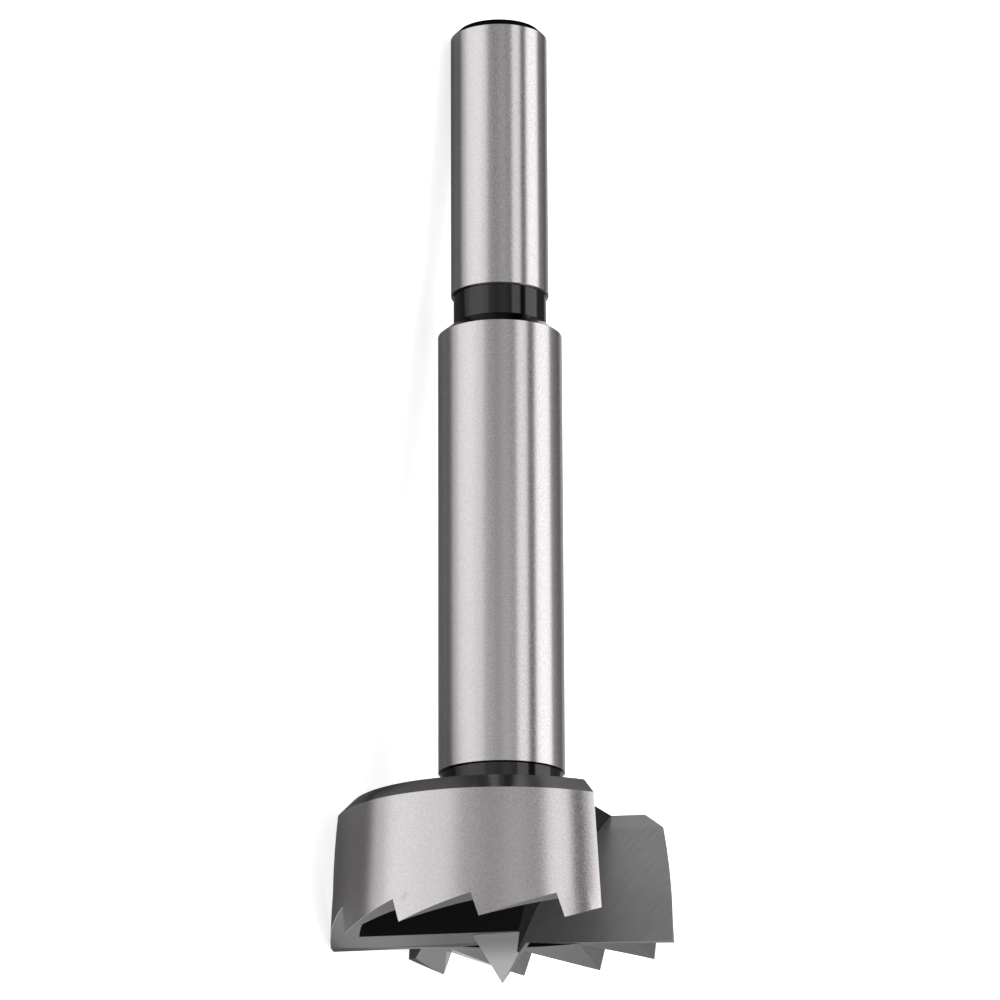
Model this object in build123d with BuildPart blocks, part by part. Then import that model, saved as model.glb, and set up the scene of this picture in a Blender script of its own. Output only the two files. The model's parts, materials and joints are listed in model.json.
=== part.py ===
from build123d import *
from math import acos, cos, degrees, radians, sin, tan
import os

# Forstner bit with saw-toothed rim, one machined piece of steel, in millimetres.
# It is modelled upright about its own axis, with z = 0 at the tips of the rim teeth, the shank
# upwards and the centre spur below. The last block lays it down as it comes to rest.
# Angles round the axis count from -Y towards +X. The bit cuts clockwise, seen from the shank end.

# Shank, necks and body
shank_diameter = 9.525
shank_length = 27.55
shank_end_chamfer = 0.75
upper_neck_diameter = 9.05
upper_neck_length = 2.9
body_diameter = 12.05
body_length = 44.6
body_chamfer_height = 1.2
lower_neck_diameter = 11.55
lower_neck_length = 3.05
edge_break = 0.12

# Head: the outside tapers back a little from the tooth tips to the rim
head_diameter = 32.3
head_rim_diameter = 31.3
head_height = 13.4
head_chamfer = 1.45

# Rim teeth of one half, the first just behind its lip
tooth_count = 4
tooth_pitch = 28.15
first_tooth_angle = -63.9
tooth_relief_angle = 17.7
tooth_front_lean = 18.0
rim_bevel_angle = 49.5
rim_bevel_overrun = 5.0

# Cutting lip: a swept, back-leaning rake face with a narrow land and a steeper flank behind it
lip_lead = 0.35
lip_sweep = 8.5
rake_lean = 25.0
lip_height = 0.05
land_angle = 3.0
land_heel = 0.95
flank_angle = 19.5

# Pocket behind each lip, open to the next gullet
pocket_radius = 13.4
pocket_ceiling = 5.6
pocket_end_angle = 60.0
pocket_corner_radius = 0.6
web_half_thickness = 1.74
web_foot = 1.0
web_sweep = 2.9

# Gullet in front of each lip
throat_foot = 1.93
throat_foot_lean = 14.4
throat_knee_height = 4.0
throat_knee_radius = 3.0
throat_lean = 32.1
throat_yaw = 20.0
gullet_floor = -0.7
trailing_angle = 33.4
trailing_lean = 2.3

# Centre spur
spur_length = 3.5
spur_side_angle = 31.0
spur_face_angle = 18.2
spur_yaw = 6.0
spur_root = 1.6

head_radius = head_diameter / 2
head_rim_radius = head_rim_diameter / 2
shank_radius = shank_diameter / 2
body_radius = body_diameter / 2
upper_neck_radius = upper_neck_diameter / 2
lower_neck_radius = lower_neck_diameter / 2

# Heights of the shoulders above the tooth tips
rim_height = head_height - head_chamfer
body_foot = head_height + lower_neck_length
body_top = body_foot + body_length
shank_foot = body_top + upper_neck_length
shank_top = shank_foot + shank_length

cutter_reach = head_diameter
half_turns = (0, 180)
rest_steps = 12


def around(angle, radius=1.0, height=0.0):
    """Point at an angle round the axis, counted from -Y towards +X."""
    return Vector(radius * sin(radians(angle)), -radius * cos(radians(angle)), height)


def behind(angle):
    """Direction in which that point trails when the bit cuts."""
    return Vector(cos(radians(angle)), sin(radians(angle)), 0)


# Plane of the rake face on the +X side: its X runs along the lip and its Z points into the gullet
lip_direction = Vector(cos(radians(lip_sweep)), -sin(radians(lip_sweep)), 0)
lip_back = Vector(sin(radians(lip_sweep)), cos(radians(lip_sweep)), 0)
rake_up = lip_back * sin(radians(rake_lean)) + Vector(0, 0, cos(radians(rake_lean)))
lip_middle = Vector(0, -lip_lead, lip_height)
rake_plane = Plane(origin=lip_middle, x_dir=lip_direction, z_dir=lip_direction.cross(rake_up))

# Plane of the face that ends the rim behind the last tooth: its Z points into the gullet
trailing_normal = behind(trailing_angle) * cos(radians(trailing_lean)) + Vector(
    0, 0, sin(radians(trailing_lean))
)
trailing_plane = Plane(
    origin=around(trailing_angle, head_radius, head_height / 2),
    x_dir=around(trailing_angle),
    z_dir=trailing_normal,
)

# Turned blank: shank, necks, body and the round of the head, down to the tooth tips
with BuildPart() as blank:
    with BuildSketch(Plane.XZ):
        with BuildLine():
            Polyline(
                (0, 0),
                (head_radius, 0),
                (head_rim_radius, rim_height),
                (head_rim_radius - head_chamfer, head_height),
                (lower_neck_radius, head_height),
                (lower_neck_radius, body_foot),
                (body_radius - edge_break, body_foot),
                (body_radius, body_foot + edge_break),
                (body_radius, body_top - body_chamfer_height),
                (upper_neck_radius, body_top),
                (upper_neck_radius, shank_foot),
                (shank_radius - edge_break, shank_foot),
                (shank_radius, shank_foot + edge_break),
                (shank_radius, shank_top - shank_end_chamfer),
                (shank_radius - shank_end_chamfer, shank_top),
                (0, shank_top),
                close=True,
            )
        make_face()
    revolve(axis=Axis.Z)

# Notches behind the rim teeth, each a prism along its own tooth's radius: the relief rises from
# that tooth's tip to the valley, and the front of the next tooth drops from there to its tip
tooth_chord = head_radius * sin(radians(tooth_pitch))
relief_rise = tan(radians(tooth_relief_angle))
front_rise = 1 / tan(radians(tooth_front_lean))
valley_run = tooth_chord * front_rise / (front_rise + relief_rise)
valley_height = valley_run * relief_rise
notch_foot = -spur_length
notch_inner_radius = pocket_radius / 2

with BuildPart() as notches:
    for tooth in range(tooth_count):
        tooth_angle = first_tooth_angle + tooth * tooth_pitch
        last_tooth = tooth == tooth_count - 1
        notch_plane = Plane(
            origin=around(tooth_angle, notch_inner_radius),
            x_dir=behind(tooth_angle),
            z_dir=around(tooth_angle),
        )
        with BuildSketch(notch_plane):
            with BuildLine():
                Polyline(
                    (0, 0),
                    (valley_run, valley_height),
                    (valley_run if last_tooth else tooth_chord, 0),
                    (valley_run if last_tooth else tooth_chord, notch_foot),
                    (0, notch_foot),
                    close=True,
                )
            make_face()
        extrude(amount=cutter_reach)

# Flank of the lip on the -X side, seen along X: a narrow land behind the lip, the steeper flank,
# and the front of the first tooth. Under the web it ends on the chisel edge that joins the lips
lip_reach = lip_lead + head_radius * tan(radians(lip_sweep))
land_rise = tan(radians(land_angle))
flank_rise = tan(radians(flank_angle))
heel_height = lip_height + (lip_reach - land_heel) * land_rise
first_tip = around(first_tooth_angle, head_radius)
first_valley_y = (heel_height + flank_rise * land_heel + front_rise * first_tip.Y) / (
    front_rise + flank_rise
)
first_valley_height = front_rise * (first_valley_y - first_tip.Y)
lip_spacing = 2 * lip_lead
chisel_plane = Plane(
    origin=(0, 0, 0), x_dir=(throat_foot, -lip_spacing, 0), z_dir=(lip_spacing, throat_foot, 0)
)

with BuildPart() as flank_cut:
    with BuildSketch(Plane.YZ.offset(throat_foot)):
        with BuildLine():
            Polyline(
                (head_radius, lip_height - (head_radius - lip_reach) * land_rise),
                (land_heel, heel_height),
                (first_valley_y, first_valley_height),
                (first_tip.Y, 0),
                (first_tip.Y, notch_foot),
                (head_radius, notch_foot),
                close=True,
            )
        make_face()
    extrude(amount=-cutter_reach)
    split(bisect_by=chisel_plane, keep=Keep.BOTTOM)

# Bevel inside the rim, from the sharp tooth tips up to the pocket wall
bevel_height = (head_radius - pocket_radius) / tan(radians(rim_bevel_angle))
bevel_start = -degrees(acos(-first_valley_y / head_radius))

with BuildPart() as rim_bevel:
    with BuildSketch(Plane(origin=(0, 0, 0), x_dir=around(bevel_start), z_dir=-behind(bevel_start))):
        with BuildLine():
            Polyline(
                (notch_inner_radius, bevel_height),
                (pocket_radius, bevel_height),
                (head_radius, 0),
                (head_radius, notch_foot),
                (notch_inner_radius, notch_foot),
                close=True,
            )
        make_face()
    revolve(axis=Axis.Z, revolution_arc=trailing_angle + rim_bevel_overrun - bevel_start)

# Pocket behind the -X lip: a flat-topped recess inside the rim, open to the next gullet, whose
# wall towards the lip leans back with the rake face
web_direction = Vector(cos(radians(web_sweep)), -sin(radians(web_sweep)), 0)
web_up = Vector(0, -sin(radians(rake_lean)), cos(radians(rake_lean)))
web_plane = Plane(
    origin=(0, -web_half_thickness, web_foot), x_dir=web_direction, z_dir=web_direction.cross(web_up)
)

with BuildPart() as pocket:
    with BuildSketch(Plane.XY.offset(notch_foot)):
        Circle(pocket_radius)
        with BuildLine():
            Polyline(
                (0, 0),
                (-cutter_reach, 0),
                (-cutter_reach, -cutter_reach),
                (cutter_reach, -cutter_reach),
                (cutter_reach, -cutter_reach / tan(radians(pocket_end_angle))),
                close=True,
            )
        make_face(mode=Mode.INTERSECT)
    extrude(amount=pocket_ceiling - notch_foot)
    split(bisect_by=web_plane, keep=Keep.TOP)
    fillet(pocket.edges().filter_by(GeomType.ELLIPSE).sort_by(Axis.X)[0], radius=pocket_corner_radius)

# Gullet before the +X lip: its throat wall is one section carried along a yawed line, cut off by
# the rake face on one side and by the end of the rim on the other
throat_rise = tan(radians(throat_foot_lean))
knee_x = throat_foot + throat_knee_height * throat_rise
gullet_top = head_height + lower_neck_length / 2
gullet_top_x = knee_x + (gullet_top - throat_knee_height) * tan(radians(throat_lean))
throat_direction = Vector(sin(radians(throat_yaw)), cos(radians(throat_yaw)), 0)

with BuildPart() as gullet:
    with BuildSketch(Plane.XZ):
        with BuildLine():
            Polyline(
                (throat_foot + gullet_floor * throat_rise, gullet_floor),
                (knee_x, throat_knee_height),
                (gullet_top_x, gullet_top),
                (cutter_reach, gullet_top),
                (cutter_reach, gullet_floor),
                close=True,
            )
        section = make_face()
        knee = section.vertices().sort_by_distance((knee_x, throat_knee_height))[0]
        fillet(knee, radius=throat_knee_radius)
    extrude(amount=cutter_reach, dir=throat_direction, both=True)
    split(bisect_by=rake_plane, keep=Keep.TOP)
    split(bisect_by=trailing_plane, keep=Keep.TOP)

# Centre spur: a four-sided pyramid, turned a little out of line, that runs up into the web
spur_height = spur_length + spur_root
spur_across = Vector(cos(radians(spur_yaw)), -sin(radians(spur_yaw)), 0)
spur_front = spur_across.cross(Vector(0, 0, 1))
spur_profiles = (
    (spur_across, spur_front, spur_height * tan(radians(spur_side_angle)), Mode.ADD),
    (-spur_front, spur_across, spur_height * tan(radians(spur_face_angle)), Mode.INTERSECT),
)

with BuildPart() as spur:
    for across, normal, half_width, mode in spur_profiles:
        with BuildSketch(Plane(origin=(0, 0, 0), x_dir=across, z_dir=normal)):
            with BuildLine():
                Polyline(
                    (0, -spur_length), (half_width, spur_root), (-half_width, spur_root), close=True
                )
            make_face()
        extrude(amount=spur_height, both=True, mode=mode)

# The whole bit, upright: both halves are cut alike, half a turn apart
with BuildPart() as upright_bit:
    add(blank.part)
    for turn in half_turns:
        for cutter in (notches, flank_cut, rim_bevel, pocket):
            add(cutter.part, rotation=(0, 0, turn), mode=Mode.SUBTRACT)
    add(spur.part)
    for turn in half_turns:
        add(gullet.part, rotation=(0, 0, turn), mode=Mode.SUBTRACT)

# At rest the bit lies on the outer corner of its -X lip, on the end of the rim of the other half,
# and on the edge of the shank's end
lip_corner = Vector(*upright_bit.vertices().sort_by_distance((-head_radius, lip_reach, lip_height))[0])
rim_corner = Vector(
    *upright_bit.vertices().sort_by_distance(around(trailing_angle + 180, head_rim_radius, rim_height))[0]
)
shank_edge_middle = Vector(0, 0, shank_top - shank_end_chamfer)
shank_edge = shank_edge_middle
for step in range(rest_steps):
    rest_up = (rim_corner - lip_corner).cross(shank_edge - lip_corner).normalized()
    shank_edge = shank_edge_middle - Vector(rest_up.X, rest_up.Y, 0).normalized() * shank_radius
towards_head = rest_up.cross(Vector(0, 0, -1)).cross(rest_up).normalized()
floor_plane = Plane(origin=lip_corner, x_dir=towards_head, z_dir=rest_up)
laid_bit = floor_plane.to_local_coords(upright_bit.part)
laid_box = laid_bit.bounding_box()

with BuildPart() as forstner_bit:
    with Locations((-laid_box.center().X, -laid_box.center().Y, -laid_box.min.Z)):
        add(laid_bit)

forstner_bit.part.label = "forstner_bit"

os.makedirs("parts", exist_ok=True)
export_step(forstner_bit.part, "parts/forstner_bit.step")
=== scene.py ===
import json
import math

import bpy
import numpy as np
from mathutils import Matrix, Vector

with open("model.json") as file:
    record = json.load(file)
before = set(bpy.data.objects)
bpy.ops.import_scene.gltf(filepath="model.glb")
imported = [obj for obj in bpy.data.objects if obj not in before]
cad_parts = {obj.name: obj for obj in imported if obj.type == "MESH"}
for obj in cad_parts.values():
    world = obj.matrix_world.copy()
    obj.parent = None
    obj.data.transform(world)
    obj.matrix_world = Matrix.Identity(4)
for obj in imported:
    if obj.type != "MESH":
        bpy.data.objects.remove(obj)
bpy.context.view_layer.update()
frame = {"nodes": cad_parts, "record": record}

MM = 0.001

# Heights along the bit's own axis, in millimetres above the tips of its rim teeth
SHANK_MIDDLE = 77.41
SHANK_END = 91.47
SHANK_EDGE = 90.7
SHANK_FOOT = 64.07
BODY_TOP = 61.05
BODY_EDGE = 59.85
BODY_FOOT = 16.57
HEAD_TOP = 13.4
HEAD_EDGE = 11.95

# Head, in millimetres and radians: its round outside, the pockets, the lips, the rim's ends and
# the spur, as the solid has them
HEAD_RADIUS = 16.15
HEAD_EDGE_RADIUS = 15.65
POCKET_RADIUS = 13.4
POCKET_CEILING = 5.6
POCKET_END = math.radians(60.0)
WEB_HALF = 1.74
WEB_FOOT = 1.0
WEB_SWEEP = math.radians(2.9)
LIP_LEAD = 0.35
LIP_HEIGHT = 0.05
LIP_SWEEP = math.radians(8.5)
LIP_INNER_END = 1.0
RAKE_LEAN = math.radians(25.0)
RIM_END = math.radians(33.4)
RIM_END_LEAN = math.radians(2.3)
SPUR_LENGTH = 3.5
SPUR_FLAT = 1.35
SPUR_REACH = 2.9
SPUR_SIDE = math.radians(31.0)
SPUR_FACE = math.radians(18.2)
SPUR_YAW = math.radians(6.0)

# The strip behind the cutting edge, painted darker as the shade of that narrow land: its width,
# how much wider it gets for each millimetre outwards, and its top, in millimetres
STRIP_WIDTH = 0.2
STRIP_SPREAD = 0.065
STRIP_TOP = 0.6

# The fall of the rim's outside towards its end, which bump alone shows: the length that it takes,
# in millimetres, and how much steeper it gets for each of them
RIM_FALL_LENGTH = 4.1
RIM_FALL_BEND = 0.0172

# How far a finish runs past the edge of its face, how soft its border is, and how far below the
# true round a facet of the head's outside may dip and still be ground, in millimetres
OVERLAP = 0.03
SOFT = 0.02
ROUND_DIP = 0.045

# Grey levels of the finishes and of the light and shade painted on some faces. A pair is the
# darker and the lighter one of a grain or of a slope of painted light and shade. The ground steel
# has a little more red and blue than green.
GROUND_GREYS = (0.645, 0.76)
GROUND_RED = 1.05
GROUND_BLUE = 1.015
FLAT_GREYS = (0.23, 0.26)
# The rake faces' pair is spread by real scratches and by painted shade that darkens them low down.
# The spur's front faces' pair is a painted reflection, lighter towards the spur's point.
RAKE_GREYS = (0.27, 0.36)
SPUR_FACE_GREYS = (0.44, 0.88)
# The spur's sides: the spur's steel painted darker as shade
SPUR_SIDE_GREY = 0.25
# The strip behind each cutting edge: painted shade
STRIP_GREY = 0.17
# The head's chamfer is blackened like the necks, painted a little lighter as a reflection
HEAD_CHAMFER_GREY = 0.1
NECK_GREY = 0.07
THROAT_GREY = 0.03
SHOULDER_GREY = 0.01
# The pockets are blackened, and painted near-black and matt as the shade inside them
POCKET_GREY = 0.008
# The chamfer at the shank's end: blackened, and painted near-black and matt as shade
END_CHAMFER_GREY = 0.004

# Heights between which the spur's faces and the rake faces get lighter, in millimetres: painted
# light and shade, a painted reflection on the spur's faces and painted shade low on the rake faces
SPUR_FACE_SLOPE = (0.5, -2.0)
RAKE_SLOPE = (3.0, 9.0)

# Grain and scratches: waves to a millimetre, the number and share of the noise's finer layers,
# and the levels of the noise between which a finish changes
GRAIN_WAVES = 7.5
SCRATCH_WAVES = 5.0
SCRATCH_WAVES_ALONG = 0.25
NOISE_LAYERS = 3.0
NOISE_ROUGHNESS = 0.6
GRAIN_RANGE = (0.38, 0.62)
NOISE_RANGE = (0.3, 0.7)

# How rough the finishes are and how dull the rake face is, then the bump: the grain's share in it
# beside the scratches, its strength, and its height in millimetres
GRAIN_ROUGHNESS = (0.2, 0.24)
RAKE_ROUGHNESS = 0.2
BLACK_SMOOTHNESS = 0.1
RAKE_DULLNESS = 0.25
GRAIN_SHARE = 0.6
BUMP_STRENGTH = 0.045
BUMP_HEIGHT = 0.0015

# The bit over the floor, in metres: where along it a change starts and ends, then its radius
# before and after the head's start, and what comes off the radius before and after the shank's.
# Its axis counts as no lower than LEAST_HEIGHT. The front edge of the painted shade is counted
# from a share of the radius.
HEAD_RISE = (0.026, 0.031, 0.006, 0.016)
SHANK_DROP = (-0.017, -0.021, 0.0, 0.0013)
LEAST_HEIGHT = 0.004
FRONT_SHARE = 0.83

# Edges of the painted shade below the bit, a dark patch on the floor that only the steel sees:
# where one starts and ends, and from what to what share the darkness goes, or from 0 to 1. In
# front they count heights of the bit's axis, behind and below the bit's radii, and along the bit
# metres.
SHADE_NEAR_FRONT = (0.42, 0.22, 0.0, 0.65)
SHADE_FAR_FRONT = (0.8, 0.5, 0.0, 0.35)
SHADE_BACK = (1.2, 0.5)
SHADE_BELOW = (-1.0, -0.7, 1.0, 0.88)
SHADE_PAST_HEAD = (0.052, 0.046, 0.25, 1.0)
SHADE_END = (0.2, 0.12)

# Painted shade on the floor around that patch, also seen only in the steel, in metres. The wedge's
# width is a share of X.
BEHIND_BIT = (0.026, 0.05, 0.0, 0.75)
BEHIND_BIT_END = (-0.15, -0.08)
PAST_TEETH = (0.046, 0.056)
BEHIND_TEETH = (-0.005, 0.025, 0.0, 0.6)
FRONT_FALL = (-0.018, -0.05, 0.0, 0.22)
FAR_FRONT_FALL = (-0.05, -0.35, 0.0, 0.28)
FRONT_FALL_END = (-0.3, -0.15)
SHANK_WEDGE = (0.4, 0.28)
SHANK_WEDGE_START = (-0.1, -0.2)

# The floor: its radius in metres, its grey and that of its painted shade, and how much it glows
FLOOR_RADIUS = 3.0
FLOOR_GREY = 0.88
PAINTED_SHADE_GREY = 0.13
FLOOR_GLOW = 0.72
FLOOR_GLOW_IN_STEEL = 0.05

# Lamps: angle over the bit from -Y in degrees, distance and size in metres, and level
BACK_PANEL = (115.5, 1.0, (2.6, 0.7), 1.12)
TOP_PANEL = (69.5, 1.0, (2.6, 0.39), 0.74)
HIGH_LAMP = (90.0, 1.2, (1.0, 1.0), 1.7)

# Steps in the sky's level as a direction's Y grows: where one starts and ends, and what it adds
# before and after
SKY_STEPS = (
    (-0.95, -0.9, 0.5, 0.38),
    (-0.9, -0.77, 0.0, 0.2),
    (-0.72, -0.55, 0.0, -0.2),
    (-0.2, -0.1, 0.0, -0.3),
    (0.12, 0.2, 0.0, 0.2),
    (0.75, 0.95, 0.0, -0.14),
)

# Slopes in it along the direction's X, which grows towards the head: the steps' level is scaled
# by the first, and the second is added. Then come two lighter patches, each from a slope along X
# and one along Y, which goes to both sides beside the shank.
SKY_PAST_SHANK = (-0.42, -0.24, 0.6, 1.0)
SKY_PAST_HEAD = (0.4, 0.9, 0.0, 0.35)
SKY_FAR_PAST_SHANK = (-0.5, -0.75)
SKY_BESIDE_SHANK = (0.2, 0.42, 0.0, 0.3)
SKY_OVER_HEAD = (0.05, 0.25)
SKY_BEHIND_HEAD = (-0.3, -0.15, 0.0, 0.3)

# Turn of the head about the bit's axis as it lies, from its lip upright
HEAD_TURN = math.radians(29.464)

# The photograph's camera, seen in the bit's own axes, in millimetres and radians
CAMERA_PLACE = (0.0, -422.27, -75.89)
CAMERA_PITCH = math.radians(15.788)
CAMERA_YAW = math.radians(-0.008)
CAMERA_ROLL = math.radians(-0.22)
LENS = 164.06
SENSOR = 36.0


def bit_axes():
    """The bit's own axes in the row frame, as the columns of a matrix, and their origin.

    Z is the axis of the shank mount, from the tooth tips to the shank's end. X is that axis's
    upright, turned by HEAD_TURN towards the row's Y. The origin is level with the tooth tips.
    """
    shank = frame["record"]["mounts"][0]
    up_shank = Vector(shank["axis"]).normalized()
    side = Vector((0.0, 1.0, 0.0))
    upright = side.cross(up_shank)
    lip = upright * math.cos(HEAD_TURN) + side * math.sin(HEAD_TURN)
    turn = Matrix((lip, up_shank.cross(lip), up_shank)).transposed()
    return turn, Vector(shank["pos_m"]) - up_shank * SHANK_MIDDLE * MM


TURN, TIPS = bit_axes()


class Wire:
    """A socket of a shader graph. Arithmetic on it adds Math nodes to the graph."""

    def __init__(self, graph, socket):
        self.graph = graph
        self.socket = socket

    def math(self, operation, *others):
        return self.graph.node("ShaderNodeMath", {"operation": operation}, (self, *others))

    def __add__(self, other):
        return self.math("ADD", other)

    __radd__ = __add__

    def __sub__(self, other):
        return self.math("SUBTRACT", other)

    def __neg__(self):
        return self.math("MULTIPLY", -1.0)

    def __rsub__(self, other):
        return -self + other

    def __mul__(self, other):
        return self.math("MULTIPLY", other)

    __rmul__ = __mul__

    def __truediv__(self, other):
        return self.math("DIVIDE", other)

    def __abs__(self):
        return self.math("ABSOLUTE")

    def ramp(self, start, end, low=0.0, high=1.0):
        """low up to start and high from end on, with a soft slope between."""
        settings = {"interpolation_type": "SMOOTHSTEP"}
        return self.graph.node("ShaderNodeMapRange", settings, (self, start, end, low, high))

    def over(self, edge):
        return self.ramp(edge - SOFT, edge + SOFT)

    def under(self, edge):
        return self.ramp(edge + SOFT, edge - SOFT)

    def near_zero(self):
        return abs(self).under(OVERLAP)

    def within(self, low, high):
        return self.over(low) * self.under(high)

    def either(self, other):
        return self.math("MAXIMUM", other)


class Graph:
    """A node tree, emptied, with one way to add nodes to it."""

    def __init__(self, tree):
        self.tree = tree
        tree.nodes.clear()

    def node(self, kind, settings=None, values=(), out=0, **named):
        """Adds a node, sets it up, fills its sockets by place or by name and gives one output."""
        made = self.tree.nodes.new(kind)
        for key, value in (settings or {}).items():
            setattr(made, key, value)
        by_name = [(key.replace("_", " "), value) for key, value in named.items()]
        for place, value in [*enumerate(values), *by_name]:
            if isinstance(value, Wire):
                self.tree.links.new(value.socket, made.inputs[place])
            elif value is not None:
                made.inputs[place].default_value = value
        return Wire(self, made.outputs[out]) if made.outputs else None

    def object_point(self):
        return self.node("ShaderNodeTexCoord", out=3)

    def parts(self, vector):
        first = self.node("ShaderNodeSeparateXYZ", {}, (vector,))
        return [Wire(self, output) for output in first.socket.node.outputs]

    def noise(self, point, waves):
        values = (point, None, waves, NOISE_LAYERS, NOISE_ROUGHNESS)
        return self.node("ShaderNodeTexNoise", {}, values)

    def colours(self, mask, first, second):
        """The colour first where mask is 0 and second where it is 1."""
        values = (mask, None, None, None, None, None, first, second)
        return self.node("ShaderNodeMix", {"data_type": "RGBA"}, values, out=2)

    def greys(self, mask, levels, red=1.0, blue=1.0):
        """The first grey level where mask is 0 and the second where it is 1."""
        return self.colours(mask, *(grey(level, red, blue) for level in levels))


def grey(level, red=1.0, blue=1.0):
    return (level * red, level, level * blue, 1.0)


class Place:
    """The shaded point in the bit's own axes, in millimetres, and what is known of each half.

    Both halves are cut alike, so a half's point is turned by half a turn where half is -1.
    """

    def __init__(self, graph):
        back = TURN.inverted()
        values = (graph.object_point(), -(back @ TIPS) / MM, back.to_euler(), (1 / MM,) * 3)
        self.vector = graph.node("ShaderNodeMapping", {"vector_type": "POINT"}, values)
        self.x, self.y, self.z = graph.parts(self.vector)
        self.radius = (self.x * self.x + self.y * self.y).math("SQRT")

    def across(self, half, slopes, offset):
        """Distance from a plane: the slopes times the half's x, y and z, less offset."""
        flat = self.x * (slopes[0] * half) + self.y * (slopes[1] * half)
        return flat + self.z * slopes[2] - offset

    def from_rake(self, half):
        """Distance before the rake face of the half's lip, which is on the +X side."""
        level = math.cos(RAKE_LEAN)
        slopes = (-math.sin(LIP_SWEEP) * level, -math.cos(LIP_SWEEP) * level, math.sin(RAKE_LEAN))
        return self.across(half, slopes, -LIP_LEAD * slopes[1] + LIP_HEIGHT * slopes[2])

    def from_rim_end(self, half):
        """Distance before the face that ends the half's rim."""
        level = math.cos(RIM_END_LEAN)
        slopes = (math.cos(RIM_END) * level, math.sin(RIM_END) * level, math.sin(RIM_END_LEAN))
        return self.across(half, slopes, HEAD_TOP / 2 * slopes[2])

    def on_rim_end(self, half):
        """1 on the face that ends the half's rim."""
        side = self.from_rim_end(half).near_zero()
        return side * self.z.under(HEAD_EDGE) * self.radius.over(POCKET_RADIUS)

    def rim_fall(self, half):
        """Height of the rim's outside, below 0 where it falls off towards its end."""
        past = (self.from_rim_end(half) + RIM_FALL_LENGTH).math("MAXIMUM", 0.0)
        return past * past * (-RIM_FALL_BEND / 2)

    def in_pocket(self, half):
        """1 in the pocket on the half's -Y side, over its web, up to its ceiling."""
        slopes = (math.tan(WEB_SWEEP), 1.0, math.tan(RAKE_LEAN))
        before_web = self.across(half, slopes, WEB_FOOT * slopes[2] - WEB_HALF).under(OVERLAP)
        before_end = self.across(half, (1.0, math.tan(POCKET_END), 0.0), 0.0).under(OVERLAP)
        inside = self.radius.under(POCKET_RADIUS + OVERLAP)
        return before_web * before_end * inside * self.z.within(0.0, POCKET_CEILING + OVERLAP)

    def in_gullet(self, half):
        """1 between the rake face and the end of the rim."""
        before = self.from_rake(half).over(OVERLAP) * self.from_rim_end(half).over(OVERLAP)
        return before * self.z.under(HEAD_TOP)

    def on_strip(self, half):
        """1 on the narrow strip behind the half's cutting edge, which widens outwards."""
        rake = self.from_rake(half)
        edge = rake + self.x * (half * STRIP_SPREAD)
        return edge.over(-STRIP_WIDTH) * rake.under(OVERLAP) * self.z.under(STRIP_TOP)

    def on_rake(self, half):
        """1 on the rake face of the half's lip."""
        beside = (self.x * half).over(LIP_INNER_END)
        return self.from_rake(half).near_zero() * beside * self.z.under(HEAD_TOP - OVERLAP)

    def on_spur(self, along_x, along_y, angle):
        """1 on the two sides of the spur that slope outwards by angle, along a level direction."""
        reach = abs(self.x * along_x + self.y * along_y)
        slope = (reach - (self.z + SPUR_LENGTH) * math.tan(angle)).near_zero()
        return slope * self.z.under(SPUR_FLAT) * self.radius.under(SPUR_REACH)

    def on_outside(self):
        """1 on the round outside of the head."""
        taper = (HEAD_RADIUS - HEAD_EDGE_RADIUS) / HEAD_EDGE
        at_foot = self.radius + self.z * taper
        return at_foot.over(HEAD_RADIUS - ROUND_DIP) * self.z.under(HEAD_EDGE)


def either_half(mask):
    """1 where a mask that goes by halves is 1 on either half."""
    return mask(1).either(mask(-1))


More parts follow.
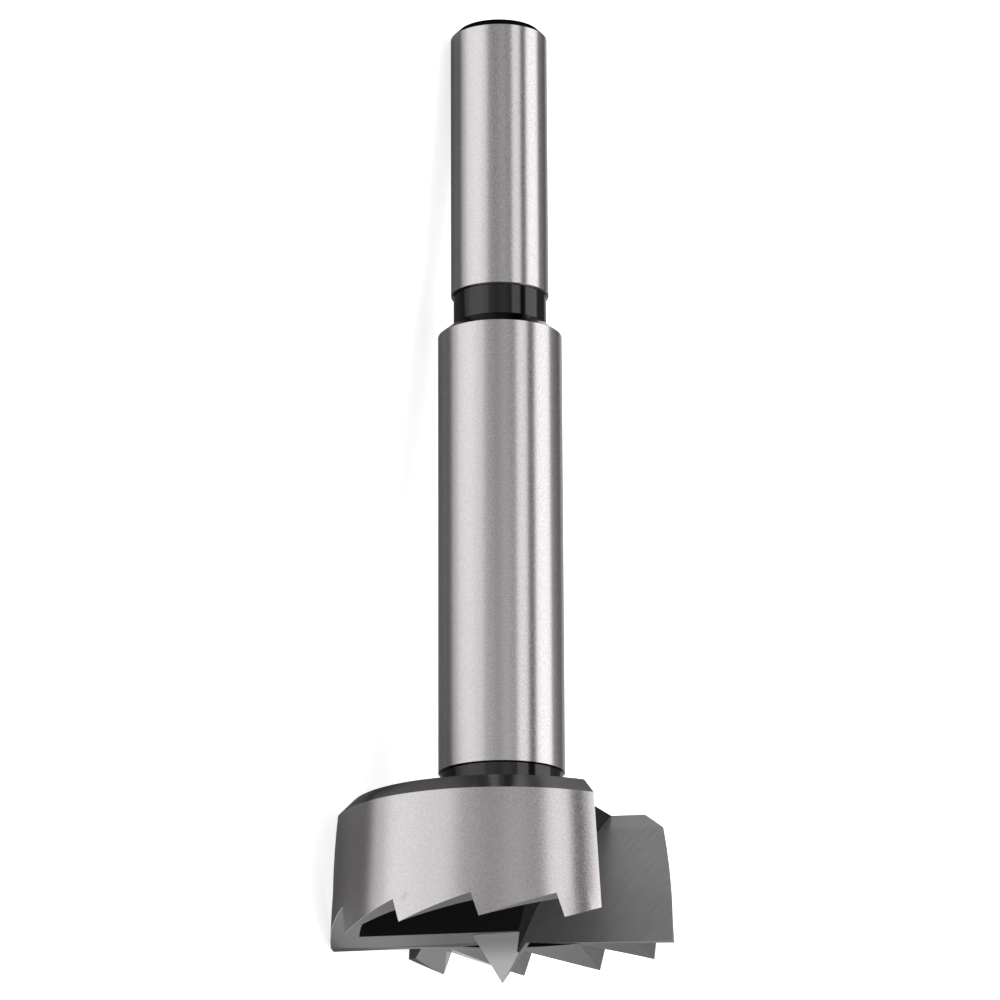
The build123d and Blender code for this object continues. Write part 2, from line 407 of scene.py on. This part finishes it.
def steel_finish():
    """Ground steel with blackened necks, chamfers, pockets and throats, and painted light and
    shade.
    """
    material = bpy.data.materials.new("ground_and_blackened_steel_with_painted_light_and_shade")
    material.use_nodes = True
    graph = Graph(material.node_tree)
    place = Place(graph)

    grain = graph.noise(place.vector, GRAIN_WAVES)
    across_scratches = (place.x - place.z) * SCRATCH_WAVES
    along_scratches = (place.x + place.z) * SCRATCH_WAVES_ALONG
    scratch_place = graph.node("ShaderNodeCombineXYZ", {}, (across_scratches, along_scratches))
    scratches = graph.noise(scratch_place, 1.0)

    speckle = grain.ramp(*GRAIN_RANGE)
    flats = graph.greys(speckle, FLAT_GREYS)
    bright = graph.greys(speckle, GROUND_GREYS, GROUND_RED, GROUND_BLUE)
    # Painted shade: the rake faces are darker low down, mixed half and half with the real
    # scratches
    scratches_and_painted_shade = (scratches.ramp(*NOISE_RANGE) + place.z.ramp(*RAKE_SLOPE)) * 0.5
    # Blackened steel; the head's chamfer is painted lighter than the necks as a painted reflection
    oxide_and_painted_sheen = graph.greys(place.z.over(HEAD_TOP), (HEAD_CHAMFER_GREY, NECK_GREY))
    # Painted reflection: the spur's front faces get lighter towards its point
    spur_face = graph.greys(place.z.ramp(*SPUR_FACE_SLOPE), SPUR_FACE_GREYS)

    black = place.z.over(HEAD_EDGE)
    hollow = either_half(place.in_pocket)
    end_chamfer = place.z.within(SHANK_EDGE, SHANK_END)
    rake = either_half(place.on_rake)
    spur_sides = place.on_spur(math.cos(SPUR_YAW), -math.sin(SPUR_YAW), SPUR_SIDE)
    spur_faces = place.on_spur(math.sin(SPUR_YAW), math.cos(SPUR_YAW), SPUR_FACE)
    shank = place.z.within(SHANK_FOOT, SHANK_EDGE)
    body = place.z.within(BODY_FOOT, BODY_EDGE)
    outside = place.on_outside()
    ground = outside.either(shank).either(body)

    # Each finish or painted light and shade covers those before it, where its mask is 1
    colour = flats
    for mask, finish_or_painted_light in (
        # Painted shade on the strip behind each cutting edge
        (either_half(place.on_strip), grey(STRIP_GREY)),
        (black, oxide_and_painted_sheen),
        (place.z.within(BODY_EDGE, BODY_TOP), grey(SHOULDER_GREY)),
        (either_half(place.in_gullet), grey(THROAT_GREY)),
        # Blackened pockets, painted near-black as shade
        (hollow, grey(POCKET_GREY)),
        # Painted shade on the blackened chamfer at the shank's end
        (end_chamfer, grey(END_CHAMFER_GREY)),
        (either_half(place.on_rim_end), flats),
        (rake, graph.greys(scratches_and_painted_shade, RAKE_GREYS)),
        # Painted shade: the spur's sides darker than its front faces
        (spur_sides, grey(SPUR_SIDE_GREY)),
        (spur_faces, spur_face),
        (ground, bright),
    ):
        colour = graph.colours(mask, colour, finish_or_painted_light)

    # The falls of both rims tilt the normal that the fine bump starts from
    slope = None
    for half in (1, -1):
        share = outside * (place.y * half).under(0.0)
        fall = place.rim_fall(half)
        slope = graph.node(
            "ShaderNodeBump", {}, Strength=share, Distance=MM, Height=fall, Normal=slope
        )
    height = grain * GRAIN_SHARE + scratches * rake
    reach = BUMP_HEIGHT * MM
    bump = graph.node(
        "ShaderNodeBump", {}, Strength=BUMP_STRENGTH, Distance=reach, Height=height, Normal=slope
    )

    # Matt near-black pockets and end chamfer: painted shade
    matt = hollow.either(end_chamfer)
    shiny_black = black * (1.0 - ground)
    roughness = grain.ramp(*NOISE_RANGE, *GRAIN_ROUGHNESS) + rake * RAKE_ROUGHNESS
    shader = graph.node(
        "ShaderNodeBsdfPrincipled",
        {},
        Base_Color=colour,
        Metallic=(1.0 - rake * RAKE_DULLNESS) * (1.0 - matt),
        Specular_IOR_Level=0.0,
        Roughness=roughness - shiny_black * BLACK_SMOOTHNESS,
        Normal=bump,
    )
    graph.node("ShaderNodeOutputMaterial", {}, (shader,))
    return material


def floor_darkness(graph):
    """How dark the floor looks in the bit's steel, from 0 to 1.

    Shade is painted on the floor, seen only in the steel: a dark patch below the bit, as wide as
    the bit above and a little wider in front where the bit is higher. The floor is painted darker
    in front of the bit and behind it, beyond the teeth and in a wedge past the shank's end too.
    """
    along, across, _ = graph.parts(graph.object_point())
    slope = TURN.col[2].z / TURN.col[2].x
    axis_height = (along * slope + (TIPS.z - slope * TIPS.x)).math("MAXIMUM", LEAST_HEIGHT)
    radius = along.ramp(*HEAD_RISE) - along.ramp(*SHANK_DROP)

    front = (-across - radius * FRONT_SHARE) / axis_height
    beside = across / radius
    # Painted shade below the bit, seen only in the steel
    painted_shade = front.ramp(*SHADE_NEAR_FRONT) + front.ramp(*SHADE_FAR_FRONT)
    painted_shade = painted_shade * beside.ramp(*SHADE_BACK) * beside.ramp(*SHADE_BELOW)
    painted_shade = painted_shade * along.ramp(*SHADE_PAST_HEAD) * along.ramp(*SHADE_END)

    behind = across.ramp(*BEHIND_BIT) * along.ramp(*BEHIND_BIT_END)
    behind_teeth = across.ramp(*BEHIND_TEETH) * along.ramp(*PAST_TEETH)
    before = across.ramp(*FRONT_FALL) + across.ramp(*FAR_FRONT_FALL)
    before = before * along.ramp(*FRONT_FALL_END)
    past_shank = abs(across / along).ramp(*SHANK_WEDGE) * along.ramp(*SHANK_WEDGE_START)
    return painted_shade.either(behind).either(behind_teeth).either(before).either(past_shank)


def floor_finish():
    """A pale floor that glows white for the camera and has painted shade in places that only the
    steel sees.
    """
    material = bpy.data.materials.new("pale_floor_with_painted_shade")
    material.use_nodes = True
    graph = Graph(material.node_tree)
    rays = graph.node("ShaderNodeLightPath").socket.node.outputs
    kinds = ("Is Camera Ray", "Is Glossy Ray", "Is Transmission Ray")
    camera, glossy, through = (Wire(graph, rays[kind]) for kind in kinds)
    # Painted shade: where the steel sees the floor, its grey drops towards the painted shade's
    # grey
    colour = graph.greys(glossy * floor_darkness(graph), (FLOOR_GREY, PAINTED_SHADE_GREY))
    glow = (camera + through) * FLOOR_GLOW + glossy * FLOOR_GLOW_IN_STEEL
    matt = graph.node("ShaderNodeBsdfDiffuse", {}, (colour,))
    light = graph.node("ShaderNodeEmission", {}, (grey(1.0), glow))
    both = graph.node("ShaderNodeAddShader", {}, (matt, light))
    graph.node("ShaderNodeOutputMaterial", {}, (both,))
    return material


def disc(name, radius, rings=3, steps=96):
    """A flat disc at z = 0: each ring's share of the radius, carried round a full turn."""
    turns = np.linspace(0, 2 * np.pi, steps, endpoint=False)
    share, angle = np.meshgrid(np.linspace(0.0, 1.0, rings), turns)
    reach = radius * share
    points = np.stack([reach * np.cos(angle), reach * np.sin(angle), 0 * share], -1)
    place = np.arange(steps * rings).reshape(steps, rings)
    near, far = place[:, :-1], place[:, 1:]
    quads = np.stack([near, far, np.roll(far, -1, 0), np.roll(near, -1, 0)], -1).reshape(-1, 4)
    mesh = bpy.data.meshes.new(name)
    mesh.from_pydata(points.reshape(-1, 3).tolist(), [], quads.tolist())
    piece = bpy.data.objects.new(name, mesh)
    bpy.context.scene.collection.objects.link(piece)
    return piece


def soft_panel(name, angle, distance, size, level, seen=True):
    """A soft rectangular lamp that faces the bit, as bright as a white card of that level.

    It hangs over the bit, at an angle from -Y upwards and over, seen along the bit. The steel
    mirrors it if it is seen.
    """
    data = bpy.data.lights.new(name, "AREA")
    data.shape = "RECTANGLE"
    data.size, data.size_y = size
    data.energy = level * math.pi * size[0] * size[1]
    lamp = bpy.data.objects.new(name, data)
    turn = math.radians(angle)
    lamp.location = (0.0, -distance * math.cos(turn), distance * math.sin(turn))
    lamp.rotation_euler = (-lamp.location).to_track_quat("-Z", "Y").to_euler()
    lamp.visible_glossy = seen
    lamp.visible_camera = False
    bpy.context.scene.collection.objects.link(lamp)


def grey_sky():
    """A grey sky whose level goes in soft steps across the bit and towards its ends."""
    world = bpy.data.worlds.new("sky")
    bpy.context.scene.world = world
    world.use_nodes = True
    graph = Graph(world.node_tree)
    ahead, behind, _ = graph.parts(graph.node("ShaderNodeTexCoord", out=0))
    level = sum(behind.ramp(*step) for step in SKY_STEPS)
    level = level * ahead.ramp(*SKY_PAST_SHANK) + ahead.ramp(*SKY_PAST_HEAD)
    level = level + ahead.ramp(*SKY_FAR_PAST_SHANK) * abs(behind).ramp(*SKY_BESIDE_SHANK)
    level = level + ahead.ramp(*SKY_OVER_HEAD) * behind.ramp(*SKY_BEHIND_HEAD)
    sky = graph.node("ShaderNodeBackground", {}, (grey(1.0), level))
    graph.node("ShaderNodeOutputWorld", {}, (sky,))


def studio():
    """Pale floor, two soft panels along the bit, a high lamp that is not mirrored, and the sky."""
    floor = disc("floor", FLOOR_RADIUS)
    floor.data.materials.append(floor_finish())
    soft_panel("back_panel", *BACK_PANEL)
    soft_panel("top_panel", *TOP_PANEL)
    soft_panel("high_lamp", *HIGH_LAMP, seen=False)
    grey_sky()


def photo_camera():
    """The photograph's viewing angle: before the lips and a little below the teeth."""
    pitch, yaw, roll = CAMERA_PITCH, CAMERA_YAW, CAMERA_ROLL
    level = math.cos(pitch)
    ahead = Vector((math.sin(yaw) * level, math.cos(yaw) * level, math.sin(pitch)))
    level_right = ahead.cross(Vector((0.0, 0.0, 1.0))).normalized()
    right = level_right * math.cos(roll) + level_right.cross(ahead) * math.sin(roll)
    axes = (TURN @ right, TURN @ right.cross(ahead), TURN @ -ahead)
    data = bpy.data.cameras.new("photo_camera")
    data.lens, data.sensor_width = LENS, SENSOR
    camera = bpy.data.objects.new("photo_camera", data)
    camera.matrix_world = Matrix(axes).transposed().to_4x4()
    camera.location = TIPS + TURN @ Vector(CAMERA_PLACE) * MM
    bpy.context.scene.collection.objects.link(camera)
    bpy.context.scene.camera = camera


frame["nodes"]["forstner_bit"].material_slots[0].material = steel_finish()
studio()
photo_camera()
bpy.context.scene.view_settings.view_transform = "Standard"
